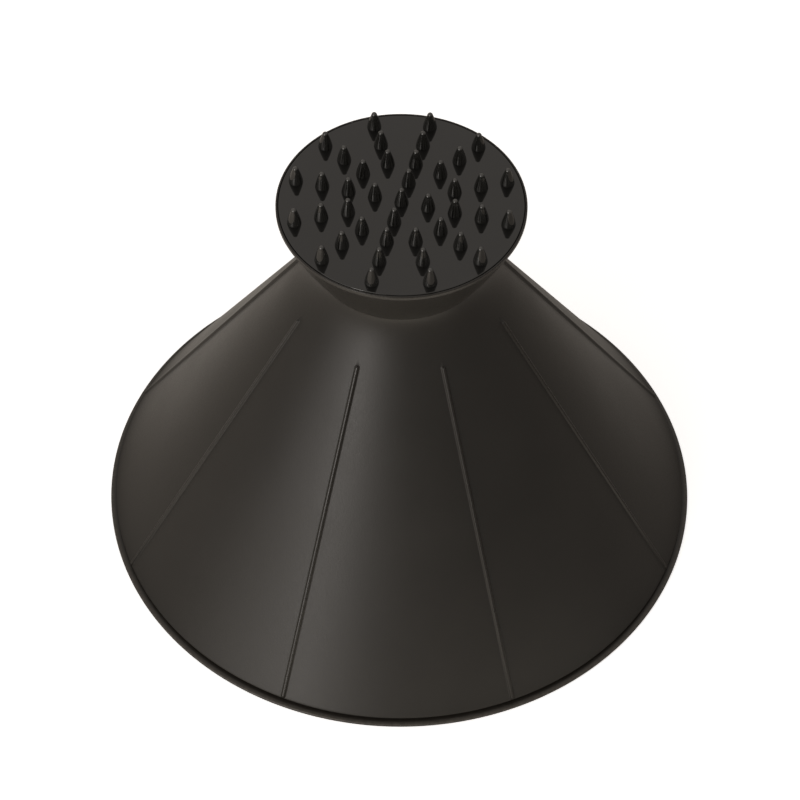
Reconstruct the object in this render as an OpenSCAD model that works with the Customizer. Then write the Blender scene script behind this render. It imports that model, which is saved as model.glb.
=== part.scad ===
// Cone-shaped windscreen ice scraper with a push-in spiked ice-breaker cap.
// The wide rim scrapes, the spikes crack thick ice, and without its cap the cone is a funnel.
// Origin at the centre of the scraping edge, +Z up along the cone's axis.

/* [Scraping rim] */
// Outer radius of the scraper ring
rim_r = 77.5; // [77.2:0.1:79]
// Height of the ring's outer lip
lip_h = 1; // [0.9:0.1:1.2]
// Height of the plane where the cone sits on the ring
seat_z = 1.9; // [1.8:0.1:2]
// Width of the flat land that touches the glass
land_w = 1.2; // [0.8:0.1:1.6]

/* [Cone] */
// Outer radius of the cone at its foot
foot_r = 76.1; // [75.5:0.1:76.2]
// Outer radius of the cone where it starts to curve into the waist
shoulder_r = 26.8; // [25.5:0.1:28]
// Height of that shoulder
shoulder_z = 79.2; // [77:0.1:82]
// Wall thickness of the cone, measured level
wall = 2.5; // [2:0.1:3]

/* [Waist and mouth] */
// Outer radius of the waist
waist_r = 21.3; // [20.6:0.1:22]
// Height of the waist
waist_z = 92.1; // [90:0.1:93]
// Outer radius of the mouth
mouth_r = 30.15; // [30.1:0.05:30.6]
// Height of the cap's flat face, level with the mouth
face_z = 110.1; // [109.4:0.1:111]
// Height of the mouth's upright edge
mouth_edge_h = 1.2; // [1:0.1:1.6]
// Wall thickness of the waist and the mouth, measured level
mouth_wall = 2.1; // [1.9:0.1:2.2]

/* [Cone ribs] */
// Number of ribs
rib_count = 8; // [4:1:12]
// Radius of a rib's round back
rib_r = 0.6; // [0.5:0.05:0.7]
// How far a rib's axis lies above the cone's surface
rib_rise = 0.05; // [0:0.05:0.2]
// Height of a rib's lower end
rib_low_z = 2.6; // [2.6:0.1:12]
// Height of a rib's upper end
rib_high_z = 78.6; // [60:0.1:79]

/* [Cap] */
// Radius of the cap's plate
plate_r = 29.5; // [28.9:0.05:29.6]
// Thickness of the plate
plate_t = 1.2; // [1:0.1:1.3]
// Radius of the plate's rounded edge
plate_round = 0.3; // [0.2:0.1:0.6]
// Radius of the bore that guides the cap's skirt
guide_r = 22.8; // [22.6:0.05:22.9]
// Radial clearance of the skirt in that bore
guide_gap = 0.05; // [0.03:0.01:0.1]
// Wall thickness of the skirt
skirt_wall = 1.6; // [1.2:0.1:2]

/* [Spikes] */
// Height of a spike above the plate
spike_h = 4.8; // [4.2:0.1:6]
// Radius of a spike at its root
spike_r = 1.75; // [1.4:0.05:1.9]
// Radius of a spike's round tip
spike_tip_r = 0.7; // [0.4:0.05:0.85]
// Distance between the rings of spikes
spike_step = 6.58; // [6:0.01:6.7]
// Number of spike arms
arm_count = 12; // [8:4:12]

/* [Hidden] */
$fn = 96;

cone_black = "#35312c";
ring_black = "#3c352e";
cap_black = "#2c2d2b";

// Tongue on the ring and the slot for it in the cone's foot
slot_inset = 2.8;
slot_w = 1.1;
slot_h = 2.3;
slot_out_r = foot_r - slot_inset;
slot_in_r = slot_out_r - slot_w;
slot_top_z = seat_z + slot_h;
tongue_gap = 0.08;
tongue_top_gap = 0.2;

// Foot of the cone, and the shadow gap between it and the ring's lip
foot_w = 5;
foot_in_r = foot_r - foot_w;
foot_round = 0.3;
gap_w = 0.7;
gap_in_r = foot_r - gap_w;
edge_round = 0.3;
lip_round = 0.45;
ring_in_z = 1.2;

// Seat of the cap inside the mouth
recess_gap = 0.15;
recess_r = plate_r + recess_gap;
ledge_z = face_z - plate_t;
guide_depth = 11.8;
guide_h = 3;
guide_low_z = face_z - guide_depth;
guide_high_z = guide_low_z + guide_h;
seat_step = 0.8;
skirt_end_gap = 0.3;
skirt_end_z = guide_low_z + skirt_end_gap;
skirt_chamfer = 0.5;

// Mouth and flare
mouth_drop = 0.1;
mouth_low_z = face_z - mouth_edge_h;
mouth_top_z = face_z - mouth_drop;
mouth_round = 0.3;
mouth_chamfer = 0.1;
flare_top_r = mouth_r - mouth_chamfer;
flare_belly = 0.7;
belly_angle = -30;
neck_drop = 1;

curve_steps = 8;
arc_steps = 5;
spike_steps = 6;
tip_steps = 5;
spike_bulge = 1.4;
small_fn = 32;

// Offset of the first rib and of the first spike arm from +X
rib_start = 180 / rib_count;
arm_start = 180 / arm_count;

// Level change of the cone's outer radius for each millimetre of height
slope = (foot_r - shoulder_r) / (shoulder_z - seat_z);

// Outer radius of the straight cone at height z
function cone_r(z) = foot_r - (z - seat_z) * slope;

// Outer radius of a straight flare from the waist to the mouth at height z
function flare_r(z) =
    waist_r + (z - waist_z) * (flare_top_r - waist_r) / (mouth_low_z - waist_z);

// Points of a curve from a to b that bends towards c
function bend(a, c, b, steps) =
    [for (i = [0:steps]) let (t = i / steps)
        (1 - t) * (1 - t) * a + 2 * t * (1 - t) * c + t * t * b];

// Points of a round corner about centre c, from angle a0 to angle a1
function corner(c, r, a0, a1) =
    [for (i = [0:arc_steps]) let (a = a0 + (a1 - a0) * i / arc_steps)
        c + r * [cos(a), sin(a)]];

// Shell of the cone, its waist and its mouth, in one moulding
module cone_shell() {
    shoulder = [shoulder_r, shoulder_z];
    waist = [waist_r, waist_z];
    flare_top = [flare_top_r, mouth_low_z];
    waist_bend = [waist_r, shoulder_z + (shoulder_r - waist_r) / slope];
    flare_bend = (waist + flare_top) / 2 + flare_belly * [cos(belly_angle), sin(belly_angle)];
    neck_in = [waist_r - mouth_wall, waist_z];
    neck_bend = [neck_in[0], waist_bend[1] - neck_drop];
    cone_top_in = [shoulder_r - wall, shoulder_z];
    inner_foot_z = seat_z + (foot_r - wall - foot_in_r) / slope;
    rotate_extrude()
        polygon(concat(
            [[foot_r - foot_round, seat_z]],
            [[cone_r(seat_z + foot_round), seat_z + foot_round]],
            bend(shoulder, waist_bend, waist, curve_steps),
            [for (p = bend(waist, flare_bend, flare_top, curve_steps)) if (p[1] > waist_z) p],
            [[mouth_r, mouth_low_z + mouth_chamfer]],
            corner([mouth_r - mouth_round, mouth_top_z - mouth_round], mouth_round, 0, 90),
            [[recess_r + mouth_chamfer, mouth_top_z]],
            [[recess_r, mouth_top_z - mouth_chamfer]],
            [[recess_r, ledge_z]],
            [[flare_r(ledge_z) - mouth_wall, ledge_z]],
            [[flare_r(guide_high_z + seat_step) - mouth_wall, guide_high_z + seat_step]],
            [[guide_r, guide_high_z]],
            [[guide_r, guide_low_z]],
            [[flare_r(guide_low_z) - mouth_wall, guide_low_z]],
            bend(neck_in, neck_bend, cone_top_in, curve_steps),
            [[foot_in_r, inner_foot_z]],
            [[foot_in_r, seat_z]],
            [[slot_in_r, seat_z]],
            [[slot_in_r, slot_top_z]],
            [[slot_out_r, slot_top_z]],
            [[slot_out_r, seat_z]]
        ));
}

// One raised rib with round ends, running straight down the cone
module rib() {
    run = rib_high_z - rib_low_z;
    drop = run * slope;
    length = sqrt(run * run + drop * drop);
    lean = atan(slope);
    translate([cone_r(rib_low_z) + rib_rise * cos(lean), 0, rib_low_z + rib_rise * sin(lean)])
        rotate([0, -lean, 0]) {
            cylinder(h = length, r = rib_r, $fn = small_fn);
            sphere(r = rib_r, $fn = small_fn);
            translate([0, 0, length])
                sphere(r = rib_r, $fn = small_fn);
        }
}

module cone_body() {
    color(cone_black)
        union() {
            cone_shell();
            for (i = [0:rib_count - 1])
                rotate([0, 0, rib_start + i * 360 / rib_count])
                    rib();
        }
}

// Hard ring under the cone's foot: a tongue holds it, and its outer lip scrapes
module scraper_ring() {
    color(ring_black)
        rotate_extrude()
            polygon(concat(
                [[rim_r - edge_round - land_w, 0]],
                [[rim_r - edge_round, 0]],
                [[rim_r, edge_round]],
                corner([rim_r - lip_round, lip_h - lip_round], lip_round, 0, 90),
                [[gap_in_r, lip_h]],
                [[gap_in_r, seat_z]],
                [[slot_out_r - tongue_gap, seat_z]],
                [[slot_out_r - tongue_gap, slot_top_z - tongue_top_gap]],
                [[slot_in_r + tongue_gap, slot_top_z - tongue_top_gap]],
                [[slot_in_r + tongue_gap, seat_z]],
                [[foot_in_r, seat_z]],
                [[foot_in_r, ring_in_z]]
            ));
}

// One spike with slightly bulging sides and a round tip, standing on z = 0
module spike() {
    tip_z = spike_h - spike_tip_r;
    root_z = -plate_t / 2;
    function side(t) = [
        spike_tip_r + (spike_r - spike_tip_r) * (1 - pow(t, spike_bulge)),
        tip_z * t
    ];
    rotate_extrude($fn = small_fn)
        polygon(concat(
            [[0, root_z]],
            [[spike_r, root_z]],
            [for (i = [0:spike_steps]) side(i / spike_steps)],
            [for (i = [1:tip_steps - 1]) let (a = 90 * i / tip_steps)
                [spike_tip_r * cos(a), tip_z + spike_tip_r * sin(a)]],
            [[0, spike_h]]
        ));
}

// Spikes in rings on radial arms, with a small cross of five at the centre
module spikes() {
    spike();
    for (k = [0:arm_count - 1])
        rotate([0, 0, arm_start + k * 360 / arm_count])
            for (ring = [2:4])
                translate([ring * spike_step, 0, 0])
                    spike();
    for (k = [0:3])
        rotate([0, 0, 90 * k - arm_start])
            translate([spike_step, 0, 0])
                spike();
}

// Round plate with a skirt that plugs into the mouth
module cap_plate() {
    skirt_r = guide_r - guide_gap;
    rotate_extrude()
        polygon(concat(
            [[0, ledge_z]],
            [[skirt_r - skirt_wall, ledge_z]],
            [[skirt_r - skirt_wall, skirt_end_z]],
            [[skirt_r - skirt_chamfer, skirt_end_z]],
            [[skirt_r, skirt_end_z + skirt_chamfer]],
            [[skirt_r, ledge_z]],
            [[plate_r, ledge_z]],
            corner([plate_r - plate_round, face_z - plate_round], plate_round, 0, 90),
            [[0, face_z]]
        ));
}

module spiked_cap() {
    color(cap_black)
        union() {
            cap_plate();
            translate([0, 0, face_z])
                spikes();
        }
}

cone_body();
scraper_ring();
spiked_cap();
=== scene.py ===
"""Looks for the cone-shaped ice scraper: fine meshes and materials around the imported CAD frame."""

import math

import bpy
from mathutils import Euler, Matrix, Vector


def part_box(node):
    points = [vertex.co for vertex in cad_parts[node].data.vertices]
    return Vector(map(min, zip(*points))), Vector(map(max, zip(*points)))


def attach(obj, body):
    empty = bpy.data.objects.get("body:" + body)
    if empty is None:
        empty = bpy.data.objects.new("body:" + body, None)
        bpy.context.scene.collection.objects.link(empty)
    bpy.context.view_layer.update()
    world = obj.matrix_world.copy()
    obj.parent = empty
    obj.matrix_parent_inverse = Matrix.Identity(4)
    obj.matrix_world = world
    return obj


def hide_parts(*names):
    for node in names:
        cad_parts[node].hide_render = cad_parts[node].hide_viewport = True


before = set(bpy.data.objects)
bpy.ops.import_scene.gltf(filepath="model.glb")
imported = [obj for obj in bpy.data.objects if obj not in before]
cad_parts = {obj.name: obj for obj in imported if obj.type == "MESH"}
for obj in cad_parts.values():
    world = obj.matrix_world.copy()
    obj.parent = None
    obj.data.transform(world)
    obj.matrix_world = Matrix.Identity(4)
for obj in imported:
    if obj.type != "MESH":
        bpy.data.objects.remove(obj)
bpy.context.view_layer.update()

MM = 0.001

# ---------------------------------------------------------------- sizes, in millimetres
ring_low, ring_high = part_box("scraper_ring")
cone_low, cone_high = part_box("cone_body")
cap_low, cap_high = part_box("spiked_cap")

RIM_R = min(ring_high.x, -ring_low.x) / MM
SEAT_Z = cone_low.z / MM
MOUTH_TOP_Z = cone_high.z / MM
PLATE_R = min(cap_high.x, -cap_low.x) / MM
TIP_Z = cap_high.z / MM

# The cap's face stands a little above the mouth's edge
FACE_Z = MOUTH_TOP_Z + 0.1

LIP_H = 1.0
LIP_ROUND = 0.45
LAND_W = 1.2
EDGE_CUT = 0.3
RING_IN_Z = 1.2
GAP_W = 0.7
TONGUE_GAP = 0.08
TONGUE_TOP_GAP = 0.2

FOOT_R = RIM_R - 1.4
FOOT_IN_R = FOOT_R - 5
SLOT_OUT_R = FOOT_R - 2.8
SLOT_IN_R = FOOT_R - 3.9
SLOT_H = 2.3
WALL = 2.5
SHOULDER_R = 26.8
SHOULDER_Z = 79.2
SLOPE = (FOOT_R - SHOULDER_R) / (SHOULDER_Z - SEAT_Z)
WAIST_R = 21.3
WAIST_Z = 92.1
NECK_DROP = 1
MOUTH_R = 30.15
MOUTH_EDGE_H = 1.2
MOUTH_WALL = 2.1
MOUTH_CHAMFER = 0.1
MOUTH_ROUND = 0.3
FLARE_BELLY = (0.61, -0.35)

RIB_COUNT = 8
RIB_HEIGHT = 0.6
RIB_HALF_WIDTH = 0.46
RIB_LOW_Z = 2.6
RIB_HIGH_Z = 78.6
# Distances of the mesh's columns from a rib's line: they lie close together on the rib's flank
RIB_SIDES = [-1.5, -1.0, -0.76, -0.63, -0.54, -0.45, -0.36, -0.25, -0.12]
RIB_ZONE = -RIB_SIDES[0]
COLUMNS_BETWEEN_RIBS = 18

PLATE_T = 1.2
LEDGE_Z = FACE_Z - PLATE_T
RECESS_R = PLATE_R + 0.15
GUIDE_R = 22.8
GUIDE_LOW_Z = FACE_Z - 11.8
GUIDE_HIGH_Z = FACE_Z - 8.8
GUIDE_STEP = 0.8
SKIRT_R = GUIDE_R - 0.05
SKIRT_WALL = 1.6
SKIRT_END_Z = FACE_Z - 11.5
SKIRT_CHAMFER = 0.5

ARM_COUNT = 12
SPIKE_STEP = 6.58
SPIKE_R = 1.75
SPIKE_TIP_R = 0.7
SPIKE_BULGE = 1.4
SPIKE_H = TIP_Z - FACE_Z
SPIKE_ROOT = -0.4


# ---------------------------------------------------------------- camera
def make_camera():
    """Looks down at the object from the front, as far off as the photograph was taken."""
    distance = 0.7466
    height_angle = math.radians(52.46)
    tilt_down = math.radians(50.73)
    lean = math.radians(0.436)
    data = bpy.data.cameras.new("camera")
    data.sensor_width = 36.0
    data.lens = 124.5
    camera = bpy.data.objects.new("camera", data)
    camera.location = (0, -distance * math.cos(height_angle), distance * math.sin(height_angle))
    aim = Euler((math.pi / 2 - tilt_down, 0, 0)).to_matrix()
    camera.rotation_euler = (aim @ Matrix.Rotation(lean, 3, "Z")).to_euler()
    bpy.context.scene.collection.objects.link(camera)
    bpy.context.scene.camera = camera


# ---------------------------------------------------------------- profile helpers
def bend(a, c, b, steps):
    """Points of a curve from a to b that bends towards c, without its last point."""
    points = []
    for i in range(steps):
        t = i / steps
        point = tuple((1 - t) ** 2 * a[k] + 2 * t * (1 - t) * c[k] + t * t * b[k] for k in (0, 1))
        points.append(point)
    return points


def rounded(points, radii, steps=5):
    """A closed outline with its corners rounded: radii has one size for each point, 0 for none."""
    result = []
    count = len(points)
    for i, (point, size) in enumerate(zip(points, radii)):
        p = Vector(point)
        to_last = Vector(points[i - 1]) - p
        to_next = Vector(points[(i + 1) % count]) - p
        share = 0.45
        cut = min(size, share * to_last.length, share * to_next.length)
        if cut <= 0:
            result.append(tuple(p))
            continue
        start = p + to_last.normalized() * cut
        end = p + to_next.normalized() * cut
        result += bend(start, p, end, steps) + [tuple(end)]
    return result


def split_long(points, longest):
    """The closed outline with extra points, so that no stretch is longer than longest."""
    result = []
    for i, a in enumerate(points):
        b = points[(i + 1) % len(points)]
        pieces = max(1, math.ceil(math.dist(a, b) / longest))
        for k in range(pieces):
            t = k / pieces
            result.append((a[0] + (b[0] - a[0]) * t, a[1] + (b[1] - a[1]) * t))
    return result


def rounded_pairs(pairs):
    """The closed outline of (corner, rounding) pairs, with its corners rounded."""
    return rounded([corner for corner, _ in pairs], [size for _, size in pairs])


def turned(outline, columns):
    """Points of the outline turned round the Z axis: row after row, with that many columns."""
    points = []
    for r, z in outline:
        for i in range(columns):
            a = 2 * math.pi * i / columns
            points.append((r * math.cos(a), r * math.sin(a), z))
    return points


def make_object(name, vertices, faces, wear_and_sheen=None):
    """Makes a smooth mesh object from points in millimetres, with one number for each point that marks
    wear on the cone and ring and painted sheen on the spikes.
    """
    mesh = bpy.data.meshes.new(name)
    mesh.from_pydata([(x * MM, y * MM, z * MM) for x, y, z in vertices], [], faces)
    if wear_and_sheen is not None:
        layer = mesh.attributes.new("wear_and_sheen", "FLOAT", "POINT")
        layer.data.foreach_set("value", wear_and_sheen)
    mesh.shade_smooth()
    mesh.update()
    piece = bpy.data.objects.new(name, mesh)
    bpy.context.scene.collection.objects.link(piece)
    return piece


def grid_faces(rows, columns, first=0, closed_rows=True):
    """Faces of a grid of points, closed round its columns, and round its rows too if asked."""
    faces = []
    for j in range(rows if closed_rows else rows - 1):
        below = first + j * columns
        above = first + ((j + 1) % rows) * columns
        for i in range(columns):
            k = (i + 1) % columns
            faces.append((below + i, below + k, above + k, above + i))
    return faces


# ---------------------------------------------------------------- the cone
def cone_r(z):
    """Outer radius of the straight cone at height z."""
    return FOOT_R - (z - SEAT_Z) * SLOPE


def flare_r(z):
    """Outer radius of a straight flare from the waist to the mouth at height z."""
    top = MOUTH_R - MOUTH_CHAMFER
    return WAIST_R + (z - WAIST_Z) * (top - WAIST_R) / (FACE_Z - MOUTH_EDGE_H - WAIST_Z)


def mouth_wall_in(z):
    """Inner radius of the mouth's wall at height z."""
    return flare_r(z) - MOUTH_WALL


def cone_outline():
    """The cone's section as a closed outline: up its outside, over the mouth and down its inside."""
    edge_low = FACE_Z - MOUTH_EDGE_H
    step_z = GUIDE_HIGH_Z + GUIDE_STEP
    shoulder = (SHOULDER_R, SHOULDER_Z)
    waist = (WAIST_R, WAIST_Z)
    waist_bend = (WAIST_R, SHOULDER_Z + (SHOULDER_R - WAIST_R) / SLOPE)
    flare_top = (flare_r(edge_low), edge_low)
    flare_bend = tuple((waist[k] + flare_top[k]) / 2 + FLARE_BELLY[k] for k in (0, 1))
    neck_in = (WAIST_R - MOUTH_WALL, WAIST_Z)
    neck_bend = (neck_in[0], waist_bend[1] - NECK_DROP)
    inside_top = (SHOULDER_R - WALL, SHOULDER_Z)
    inside_foot_z = SEAT_Z + (FOOT_R - WALL - FOOT_IN_R) / SLOPE
    slot_top = SEAT_Z + SLOT_H
    pairs = [((FOOT_R - 0.05, SEAT_Z), 0.25)]
    pairs += [((cone_r(z), z), 0) for z in cone_levels()]
    pairs += [(p, 0) for p in bend(shoulder, waist_bend, waist, 14)]
    pairs += [(waist, 0.5)]
    pairs += [(p, 0) for p in bend(waist, flare_bend, flare_top, 14)[1:]]
    pairs += [
        (flare_top, 0.1),
        ((MOUTH_R, edge_low + MOUTH_CHAMFER), 0.05),
        ((MOUTH_R, MOUTH_TOP_Z), MOUTH_ROUND),
        ((RECESS_R, MOUTH_TOP_Z), 0.1),
        ((RECESS_R, LEDGE_Z), 0.1),
        ((mouth_wall_in(LEDGE_Z), LEDGE_Z), 0.2),
        ((mouth_wall_in(step_z), step_z), 0.3),
        ((GUIDE_R, GUIDE_HIGH_Z), 0.2),
        ((GUIDE_R, GUIDE_LOW_Z), 0.2),
        ((mouth_wall_in(GUIDE_LOW_Z), GUIDE_LOW_Z), 0.1),
    ]
    pairs += [(p, 0) for p in bend(neck_in, neck_bend, inside_top, 12)]
    pairs += [
        (inside_top, 0),
        ((FOOT_IN_R, inside_foot_z), 0.8),
        ((FOOT_IN_R, SEAT_Z), 0.3),
        ((SLOT_IN_R, SEAT_Z), 0.1),
        ((SLOT_IN_R, slot_top), 0.2),
        ((SLOT_OUT_R, slot_top), 0.2),
        ((SLOT_OUT_R, SEAT_Z), 0.1),
    ]
    return rounded_pairs(pairs)


def cone_levels():
    """Heights of the rows on the straight cone: close together at the ribs' round ends."""
    levels = []
    z = SEAT_Z + 0.4
    while z < SHOULDER_Z - 0.1:
        levels.append(z)
        to_rib_end = min(abs(z - RIB_LOW_Z), abs(z - RIB_HIGH_Z))
        z += 0.14 if to_rib_end < 1.0 else 0.4 if to_rib_end < 2.5 else 1.6
    return levels


def rib_columns():
    """Columns round the cone as (rib angle, level distance from the rib, share of the free gap)."""
    close = RIB_SIDES + [0.0] + [-d for d in reversed(RIB_SIDES)]
    free = COLUMNS_BETWEEN_RIBS
    columns = []
    for k in range(RIB_COUNT):
        angle = 2 * math.pi * (k + 0.5) / RIB_COUNT
        columns += [(angle, d, 0.0) for d in close]
        columns += [(angle, close[-1], (i + 1) / (free + 1)) for i in range(free)]
    return columns


def rib_shape(distance):
    """Height of a rib's round back, running out into the cone, at that distance from its line."""
    return RIB_HEIGHT * math.exp(-((distance / RIB_HALF_WIDTH) ** 4))


def on_the_cone(r, z):
    """Tells whether a point of the outline is on the cone's outside, where the ribs are."""
    return SEAT_Z + 0.3 < z < SHOULDER_Z + 2.5 and r > cone_r(min(z, SHOULDER_Z)) - 1.2


def on_the_mouth_edge(r, z):
    """Tells whether a point of the outline is on the mouth's rounded outer edge."""
    margin = MOUTH_ROUND + 0.01
    return r > MOUTH_R - margin and z > MOUTH_TOP_Z - margin


def make_cone():
    """Turns the outline round the axis and lifts it along the ribs; ribs and mouth edge are worn."""
    outline = cone_outline()
    columns = rib_columns()
    gap = 2 * math.pi / RIB_COUNT
    lean = math.atan(SLOPE)
    vertices, wear_and_sheen = [], []
    for r, z in outline:
        outside = on_the_cone(r, z)
        mouth_edge = on_the_mouth_edge(r, z)
        beyond = max(0.0, RIB_LOW_Z - z, z - RIB_HIGH_Z) / math.cos(lean)
        zone = math.asin(min(0.9, RIB_ZONE / r))
        for angle, side, share in columns:
            turn = math.asin(max(-0.9, min(0.9, side / r))) + share * (gap - 2 * zone)
            ribbed = outside and share == 0
            lift = rib_shape(math.hypot(side, beyond)) if ribbed else 0.0
            a = angle + turn
            out_r = r + lift * math.cos(lean)
            out_z = z + lift * math.sin(lean)
            vertices.append((out_r * math.cos(a), out_r * math.sin(a), out_z))
            wear_and_sheen.append(1.0 if mouth_edge else min(1.0, lift / RIB_HEIGHT))
    faces = grid_faces(len(outline), len(columns))
    piece = make_object("cone_shell", vertices, faces, wear_and_sheen)
    piece.data.materials.append(cone_plastic())
    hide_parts("cone_body")
    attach(piece, "scraper")


# ---------------------------------------------------------------- the scraper ring
def make_ring():
    """The ring under the cone's foot: worn on its scraping land and along the lip's rounded edge."""
    tongue_in = SLOT_IN_R + TONGUE_GAP
    tongue_out = SLOT_OUT_R - TONGUE_GAP
    tongue_top = SEAT_Z + SLOT_H - TONGUE_TOP_GAP
    pairs = [
        ((RIM_R - EDGE_CUT - LAND_W, 0.0), 0.25),
        ((RIM_R - EDGE_CUT, 0.0), 0.1),
        ((RIM_R, EDGE_CUT), 0.1),
        ((RIM_R, LIP_H), LIP_ROUND),
        ((FOOT_R - GAP_W, LIP_H), 0.1),
        ((FOOT_R - GAP_W, SEAT_Z), 0.1),
        ((tongue_out, SEAT_Z), 0.1),
        ((tongue_out, tongue_top), 0.2),
        ((tongue_in, tongue_top), 0.2),
        ((tongue_in, SEAT_Z), 0.1),
        ((FOOT_IN_R, SEAT_Z), 0.15),
        ((FOOT_IN_R, RING_IN_Z), 0.3),
    ]
    outline = split_long(rounded_pairs(pairs), 1.0)
    columns = 720
    wear_and_sheen = []
    for r, z in outline:
        scraping = z < 0.1 and r > RIM_R - 2
        lip_edge = r > RIM_R - 0.5 and 0.5 < z < 1.2
        wear_and_sheen += [1.0 if scraping or lip_edge else 0.0] * columns
    faces = grid_faces(len(outline), columns)
    piece = make_object("ring_shell", turned(outline, columns), faces, wear_and_sheen)
    piece.data.materials.append(ring_plastic())
    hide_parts("scraper_ring")
    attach(piece, "scraper")


# ---------------------------------------------------------------- the spiked cap
def polar(radius, angle):
    return (radius * math.cos(angle), radius * math.sin(angle))


def spike_places():
    """Centres of the spikes: rings on radial arms, and a small cross of five at the centre."""
    places = [(0.0, 0.0)]
    for k in range(ARM_COUNT):
        arm = 2 * math.pi * (k + 0.5) / ARM_COUNT
        places += [polar(ring * SPIKE_STEP, arm) for ring in (2, 3, 4)]
    for k in range(4):
        places.append(polar(SPIKE_STEP, k * math.pi / 2 - math.pi / ARM_COUNT))
    return places


def spike_profile():
    """(radius, height above the plate) up one spike: its root, bulging sides and a round tip."""
    tip_z = SPIKE_H - SPIKE_TIP_R
    points = [(SPIKE_R, SPIKE_ROOT)]
    steps = 14
    for i in range(steps + 1):
        t = i / steps
        r = SPIKE_TIP_R + (SPIKE_R - SPIKE_TIP_R) * (1 - t ** SPIKE_BULGE)
        points.append((r, tip_z * t))
    for degrees in range(15, 90, 15):
        a = math.radians(degrees)
        points.append((SPIKE_TIP_R * math.cos(a), tip_z + SPIKE_TIP_R * math.sin(a)))
    return points


def plate_outline():
    """Section of the plate with its plug skirt, from the top's centre outwards and back underneath."""
    pairs = [
        ((PLATE_R, FACE_Z), 0.3),
        ((PLATE_R, LEDGE_Z), 0.1),
        ((SKIRT_R, LEDGE_Z), 0.2),
        ((SKIRT_R, SKIRT_END_Z + SKIRT_CHAMFER), 0.15),
        ((SKIRT_R - SKIRT_CHAMFER, SKIRT_END_Z), 0.15),
        ((SKIRT_R - SKIRT_WALL, SKIRT_END_Z), 0.2),
        ((SKIRT_R - SKIRT_WALL, LEDGE_Z), 0.4),
    ]
    inner_top = [(PLATE_R * t, FACE_Z) for t in (0.02, 0.25, 0.5, 0.75, 0.95)]
    inner_under = [(SKIRT_R * t, LEDGE_Z) for t in (0.85, 0.5, 0.02)]
    return inner_top + rounded_pairs(pairs) + inner_under


def spike_painted_sheen(z):
    """Share of painted sheen on a spike at height z above the plate: half on its sides, full at the
    tip, where it is a painted highlight.
    """
    return 0.5 + 0.5 * max(0.0, z / SPIKE_H) ** 6 if z > 0.1 else 0.0


def make_cap():
    """One mesh: the plate with its skirt, and the spikes sunk a little into it."""
    columns = 360
    outline = plate_outline()
    vertices = turned(outline, columns)
    wear_and_sheen = [0.0] * len(vertices)
    faces = grid_faces(len(outline), columns, closed_rows=False)
    last = (len(outline) - 1) * columns
    faces.append(tuple(reversed(range(columns))))
    faces.append(tuple(range(last, last + columns)))
    profile = spike_profile()
    sides = 32
    for x, y in spike_places():
        first = len(vertices)
        # Each spike point gets its share of painted sheen; the tip point is a full painted highlight.
        for dx, dy, z in turned(profile, sides):
            vertices.append((x + dx, y + dy, FACE_Z + z))
            wear_and_sheen.append(spike_painted_sheen(z))
        top = len(vertices)
        vertices.append((x, y, FACE_Z + SPIKE_H))
        wear_and_sheen.append(1.0)
        faces += grid_faces(len(profile), sides, first, closed_rows=False)
        ring = first + (len(profile) - 1) * sides
        faces += [(ring + i, ring + (i + 1) % sides, top) for i in range(sides)]
        faces.append(tuple(first + i for i in reversed(range(sides))))
    piece = make_object("cap_moulding", vertices, faces, wear_and_sheen)
    piece.data.materials.append(cap_plastic())
    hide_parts("spiked_cap")
    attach(piece, "cap")


# ---------------------------------------------------------------- materials
def set_range(node, low, high, to_low, to_high):
    """Sets the four limits of a Map Range node."""
    names = ("From Min", "From Max", "To Min", "To Max")
    for name, number in zip(names, (low, high, to_low, to_high)):
        node.inputs[name].default_value = number


class Shader:
    """A small helper that adds nodes to a material and wires them."""

    def __init__(self, name):
        self.material = bpy.data.materials.new(name)
        self.material.use_nodes = True
        self.tree = self.material.node_tree
        self.bsdf = self.tree.nodes["Principled BSDF"]
        self.place = self.add("ShaderNodeTexCoord").outputs["Object"]

    def add(self, kind, **settings):
        node = self.tree.nodes.new(kind)
        for key, value in settings.items():
            setattr(node, key, value)
        return node

    def link(self, a, b):
        self.tree.links.new(a, b)

    def noise(self, per_metre, detail=2.0, rough=0.5, stretch=None):
        """A noise of that many grains in a metre, stretched by the three given factors."""
        node = self.add("ShaderNodeTexNoise")
        node.inputs["Scale"].default_value = per_metre
        node.inputs["Detail"].default_value = detail
        node.inputs["Roughness"].default_value = rough
        source = self.place
        if stretch:
            mapping = self.add("ShaderNodeMapping")
            mapping.inputs["Scale"].default_value = stretch
            self.link(self.place, mapping.inputs["Vector"])
            source = mapping.outputs["Vector"]
        self.link(source, node.inputs["Vector"])
        return node.outputs["Fac"]

    def remap(self, value, low, high, to_low, to_high):
        """The value moved from the range low..high to the range to_low..to_high, and held inside it."""
        node = self.add("ShaderNodeMapRange")
        set_range(node, low, high, to_low, to_high)
        self.link(value, node.inputs["Value"])
        return node.outputs["Result"]

    def math(self, operation, a, b):
        node = self.add("ShaderNodeMath", operation=operation)
        for socket, value in zip(node.inputs, (a, b)):
            if isinstance(value, (int, float)):
                socket.default_value = value
            else:
                self.link(value, socket)
        return node.outputs["Value"]

    def mix(self, share, a, b):
        node = self.add("ShaderNodeMix", data_type="RGBA")
        self.link(share, node.inputs["Factor"])
        for socket, value in ((node.inputs["A"], a), (node.inputs["B"], b)):
            if isinstance(value, tuple):
                socket.default_value = (*value, 1.0)
            else:
                self.link(value, socket)
        return node.outputs["Result"]

    # The per-point number: wear on the cone and ring, painted sheen and a painted tip highlight on the
    # spikes.
    def wear_and_sheen(self):
        return self.add("ShaderNodeAttribute", attribute_name="wear_and_sheen").outputs["Fac"]

    def bump(self, height, distance, strength, after=None):
        node = self.add("ShaderNodeBump")
        node.inputs["Distance"].default_value = distance
        node.inputs["Strength"].default_value = strength
        self.link(height, node.inputs["Height"])
        if after:
            self.link(after, node.inputs["Normal"])
        return node.outputs["Normal"]


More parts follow.
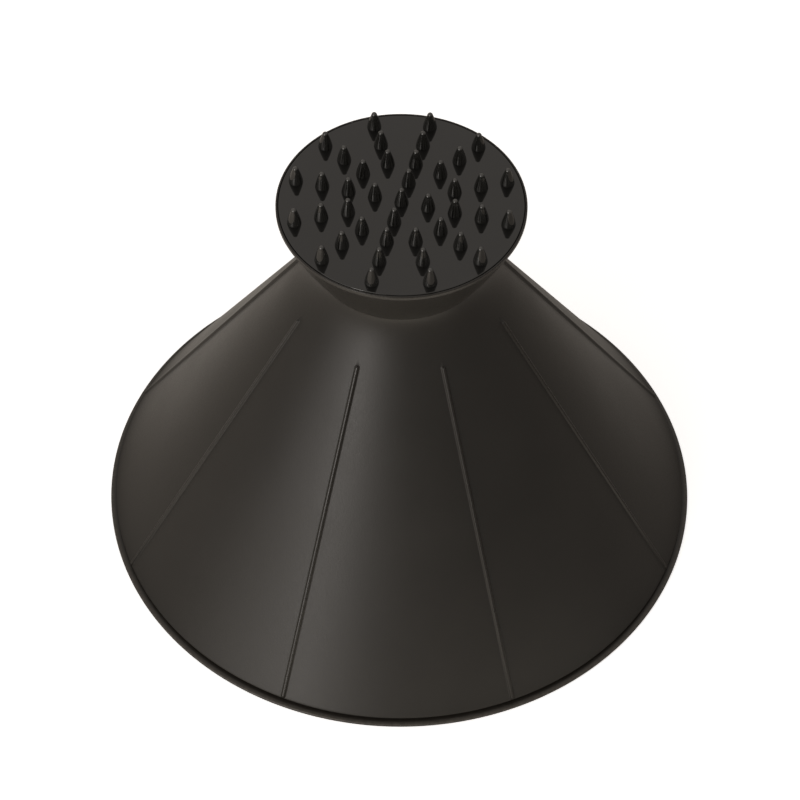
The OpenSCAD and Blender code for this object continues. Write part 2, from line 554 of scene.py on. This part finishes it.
def cone_plastic():
    """Black moulded plastic with a warm cast and a fine spark-eroded grain."""
    s = Shader("cone_plastic")
    grain = s.noise(2600, 3.0, 0.6)
    cloud = s.noise(38, 3.0, 0.5)
    patches = s.remap(cloud, 0.3, 0.7, 0, 1)
    colour = s.mix(patches, (0.0085, 0.0074, 0.0058), (0.0108, 0.0094, 0.0074))
    worn = s.math("MULTIPLY", s.wear_and_sheen(), s.remap(grain, 0.4, 0.8, 0.05, 0.25))
    s.link(s.mix(worn, colour, (0.035, 0.031, 0.026)), s.bsdf.inputs["Base Color"])
    fine = s.remap(grain, 0.3, 0.7, -0.04, 0.04)
    rough = s.math("ADD", fine, s.remap(cloud, 0.3, 0.7, 0.39, 0.45))
    rough = s.math("SUBTRACT", rough, s.math("MULTIPLY", s.wear_and_sheen(), 0.14))
    s.link(rough, s.bsdf.inputs["Roughness"])
    normal = s.bump(grain, 0.00003, 0.75)
    wave = s.noise(420, 2.0, 0.5)
    s.link(s.bump(wave, 0.00004, 0.25, normal), s.bsdf.inputs["Normal"])
    return s.material


def ring_plastic():
    """Harder plastic, a little lighter than the cone's, with fine scratches on its worn edges."""
    s = Shader("ring_plastic")
    grain = s.noise(2200, 3.0, 0.6)
    scratch = s.noise(900, 3.0, 0.7, (1.0, 1.0, 0.08))
    specks = s.remap(grain, 0.3, 0.7, 0, 1)
    colour = s.mix(specks, (0.013, 0.0112, 0.009), (0.016, 0.0138, 0.011))
    worn = s.math("MULTIPLY", s.wear_and_sheen(), s.remap(scratch, 0.4, 0.7, 0.35, 0.95))
    s.link(s.mix(worn, colour, (0.075, 0.067, 0.057)), s.bsdf.inputs["Base Color"])
    s.link(s.remap(scratch, 0.3, 0.7, 0.3, 0.46), s.bsdf.inputs["Roughness"])
    s.link(s.bump(scratch, 0.00003, 0.6), s.bsdf.inputs["Normal"])
    return s.material


def cap_plastic():
    """Deep black glossy plastic: the spikes' lighter colour is a painted sheen, and their tips carry a
    painted highlight under a bright coat.
    """
    s = Shader("cap_plastic")
    grain = s.noise(3200, 2.0, 0.5)
    cloud = s.noise(60, 2.0, 0.5)
    patches = s.remap(cloud, 0.3, 0.7, 0, 1)
    colour = s.mix(patches, (0.0028, 0.0029, 0.0026), (0.0038, 0.0039, 0.0035))
    # Painted light: the spikes' lighter colour is painted sheen, lightest at the tips as a painted
    # highlight.
    s.link(s.mix(s.wear_and_sheen(), colour, (0.019, 0.0188, 0.0172)), s.bsdf.inputs["Base Color"])
    s.bsdf.inputs["Specular IOR Level"].default_value = 0.8
    fine = s.remap(grain, 0.3, 0.7, -0.01, 0.01)
    rough = s.math("ADD", fine, s.remap(cloud, 0.3, 0.7, 0.04, 0.06))
    rough = s.math("ADD", rough, s.math("MULTIPLY", s.wear_and_sheen(), 0.05))
    s.link(rough, s.bsdf.inputs["Roughness"])
    s.link(s.remap(s.wear_and_sheen(), 0.75, 1.0, 0.0, 1.0), s.bsdf.inputs["Coat Weight"])
    s.bsdf.inputs["Coat Roughness"].default_value = 0.04
    wave = s.noise(140, 2.0, 0.5)
    s.link(s.bump(wave, 0.00002, 0.1), s.bsdf.inputs["Normal"])
    return s.material


def floor_paint():
    """Plain pale studio floor that glows a little, so that it stays white in a dim room."""
    s = Shader("floor_paint")
    cloud = s.noise(3, 2.0, 0.5)
    s.link(s.mix(cloud, (0.87, 0.87, 0.87), (0.9, 0.9, 0.9)), s.bsdf.inputs["Base Color"])
    s.bsdf.inputs["Roughness"].default_value = 0.9
    s.bsdf.inputs["Emission Color"].default_value = (1, 1, 1, 1)
    s.bsdf.inputs["Emission Strength"].default_value = 0.65
    return s.material


def table_paint():
    """Matt card with painted light: a painted contact shadow darkens it round the rim, it is painted
    lighter to the left and in front, and near the rim it glows, most in front.
    """
    s = Shader("table_paint")
    split = s.add("ShaderNodeSeparateXYZ")
    s.link(s.place, split.inputs["Vector"])
    length = s.add("ShaderNodeVectorMath", operation="LENGTH")
    s.link(s.place, length.inputs[0])
    reach = length.outputs["Value"]
    near = s.remap(reach, 0.12, 0.2, 1.0, 0.0)
    front = s.math("MULTIPLY", s.remap(split.outputs["Y"], -0.05, -0.1, 0.0, 1.0), near)
    # Painted contact shadow: the card is painted darker within a few millimetres of the rim.
    clear_of_painted_shadow = s.remap(reach, 0.078, 0.088, 0.2, 1.0)
    left = s.remap(split.outputs["X"], 0.05, -0.12, 0.0, 1.0)
    behind = s.remap(split.outputs["Y"], 0.01, 0.07, 0.0, 1.0)
    # Painted light: the card is painted lighter towards the left and lightest in front.
    sides = s.mix(left, (0.42, 0.39, 0.36), (0.72, 0.68, 0.63))
    card = s.mix(front, sides, (0.95, 0.9, 0.84))
    s.link(s.mix(clear_of_painted_shadow, (0.05, 0.047, 0.042), card), s.bsdf.inputs["Base Color"])
    back_glow = s.mix(left, (0.24, 0.225, 0.205), (0.36, 0.34, 0.31))
    beside = s.mix(behind, (0.06, 0.056, 0.052), back_glow)
    s.link(s.mix(front, beside, (0.95, 0.87, 0.72)), s.bsdf.inputs["Emission Color"])
    s.link(s.math("MULTIPLY", near, clear_of_painted_shadow), s.bsdf.inputs["Emission Strength"])
    s.bsdf.inputs["Roughness"].default_value = 1.0
    s.bsdf.inputs["Specular IOR Level"].default_value = 0.0
    return s.material


# ---------------------------------------------------------------- studio
KEY_TINT = (1.0, 0.95, 0.9)


def soft_box(name, azimuth, elevation, distance, size, power):
    """A rectangular light that looks at the cone; azimuth 0 is the front, positive to the right."""
    data = bpy.data.lights.new(name, "AREA")
    data.shape = "RECTANGLE"
    data.size, data.size_y = size
    data.energy = power
    data.color = KEY_TINT
    light = bpy.data.objects.new(name, data)
    a, e = math.radians(azimuth), math.radians(elevation)
    aim = Vector((0, 0, 0.05))
    away = Vector((math.cos(e) * math.sin(a), -math.cos(e) * math.cos(a), math.sin(e)))
    light.location = aim + away * distance
    light.rotation_euler = (-away).to_track_quat("-Z", "Y").to_euler()
    bpy.context.scene.collection.objects.link(light)


def make_world():
    """A dim warm room, brighter towards its ceiling and a little brighter to the left."""
    world = bpy.data.worlds.new("studio")
    world.use_nodes = True
    tree = world.node_tree
    background = tree.nodes["Background"]
    background.inputs["Color"].default_value = (1.0, 0.93, 0.86, 1)
    place = tree.nodes.new("ShaderNodeTexCoord")
    split = tree.nodes.new("ShaderNodeSeparateXYZ")
    tree.links.new(place.outputs["Generated"], split.inputs["Vector"])
    towards_ceiling = ("Z", 0.1, 0.7, 0.27, 0.5)
    towards_left = ("X", 0.6, -0.6, -0.02, 0.1)
    parts = []
    for axis, low, high, at_low, at_high in (towards_ceiling, towards_left):
        part = tree.nodes.new("ShaderNodeMapRange")
        part.interpolation_type = "SMOOTHSTEP"
        set_range(part, low, high, at_low, at_high)
        tree.links.new(split.outputs[axis], part.inputs["Value"])
        parts.append(part.outputs["Result"])
    total = tree.nodes.new("ShaderNodeMath")
    total.operation = "ADD"
    tree.links.new(parts[0], total.inputs[0])
    tree.links.new(parts[1], total.inputs[1])
    tree.links.new(total.outputs["Value"], background.inputs["Strength"])
    bpy.context.scene.world = world


def make_plane(name, height, paint):
    """A large level plane at that height in millimetres."""
    size = 3000.0
    corners = [(x * size, y * size, height) for x, y in ((-1, -1), (1, -1), (1, 1), (-1, 1))]
    plane = make_object(name, corners, [(0, 1, 2, 3)])
    plane.data.materials.append(paint)
    return plane


def make_floor():
    """A plain white floor; the plastic reflects a darker table in its place."""
    floor = make_plane("floor", 0.0, floor_paint())
    floor.visible_glossy = False
    table = make_plane("table", 0.02, table_paint())
    table.visible_camera = False
    table.visible_diffuse = False
    table.visible_shadow = False


def make_studio():
    bpy.context.scene.view_settings.view_transform = "Standard"
    make_world()
    make_floor()
    soft_box("key", -34, 18, 1.0, (0.16, 0.6), 1.4)
    soft_box("key_glow", -40, 18, 1.1, (1.0, 0.9), 3.5)


make_camera()
make_cone()
make_ring()
make_cap()
make_studio()
